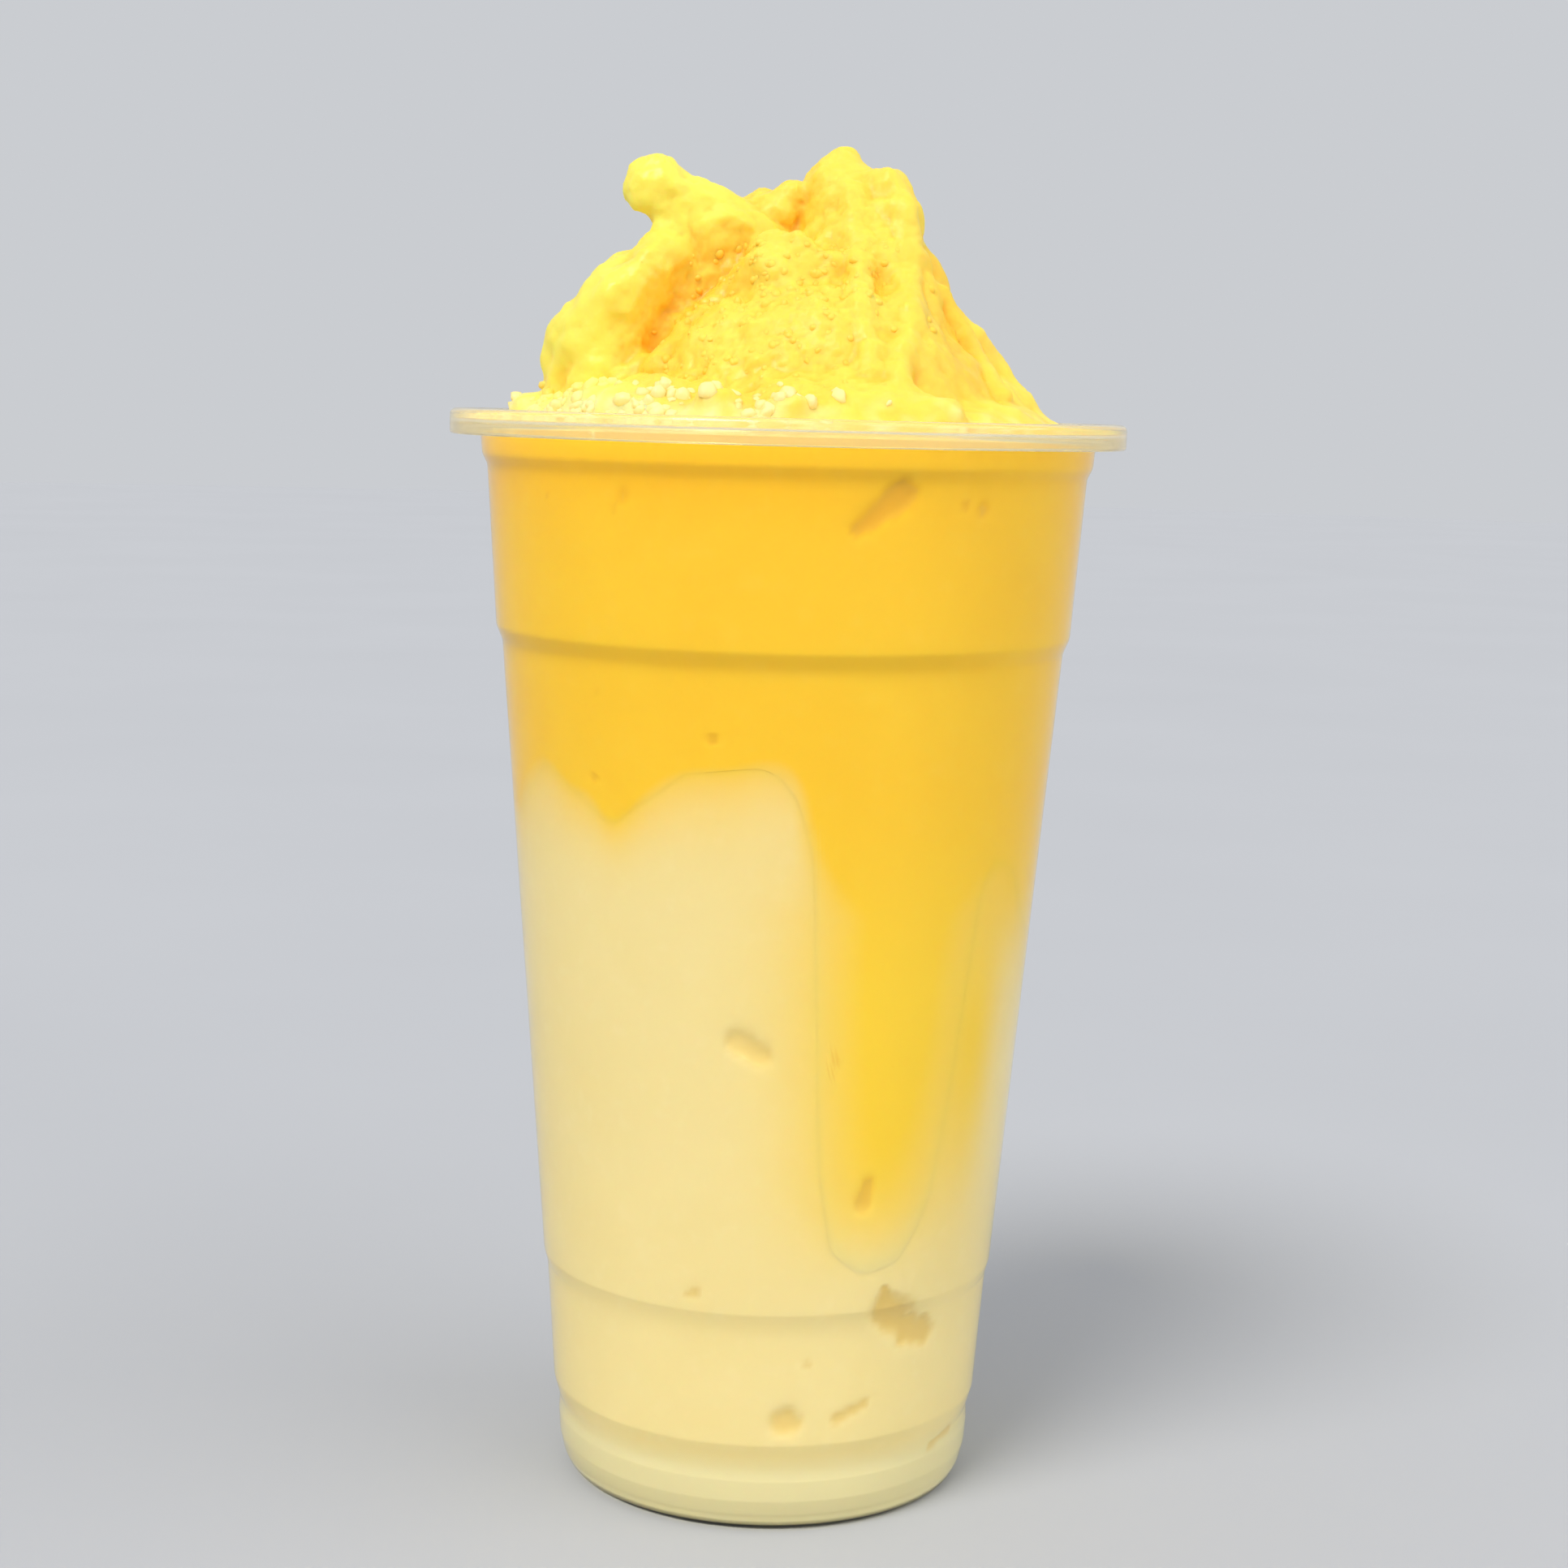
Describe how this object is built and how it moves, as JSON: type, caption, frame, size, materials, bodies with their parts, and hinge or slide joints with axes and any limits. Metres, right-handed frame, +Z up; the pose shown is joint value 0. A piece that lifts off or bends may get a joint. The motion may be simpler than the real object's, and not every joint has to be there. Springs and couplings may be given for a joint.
{
  "type": "cup of fruit smoothie",
  "caption": "Tall clear plastic takeaway cup of layered fruit smoothie, pale cream below and mango slush above, heaped in a craggy mound over its flanged rim.",
  "frame": {"origin": "centre of the cup's foot, on the surface that it stands on", "axes": "+Z up along the cup's axis; the front of the drink, with the low tongue of mango to its right, faces -Y"},
  "size_m": [0.095, 0.095, 0.1913],
  "materials": {
    "clear_plastic": "clear thin plastic, slightly milky",
    "cream_smoothie": "wet, smooth, pale yellow cream",
    "mango_slush": "wet, finely granular yellow ice slush"
  },
  "bodies": {
    "root": {"cup": "clear_plastic", "cream_layer": "cream_smoothie", "mango_slush": "mango_slush"}
  },
  "joints": []
}
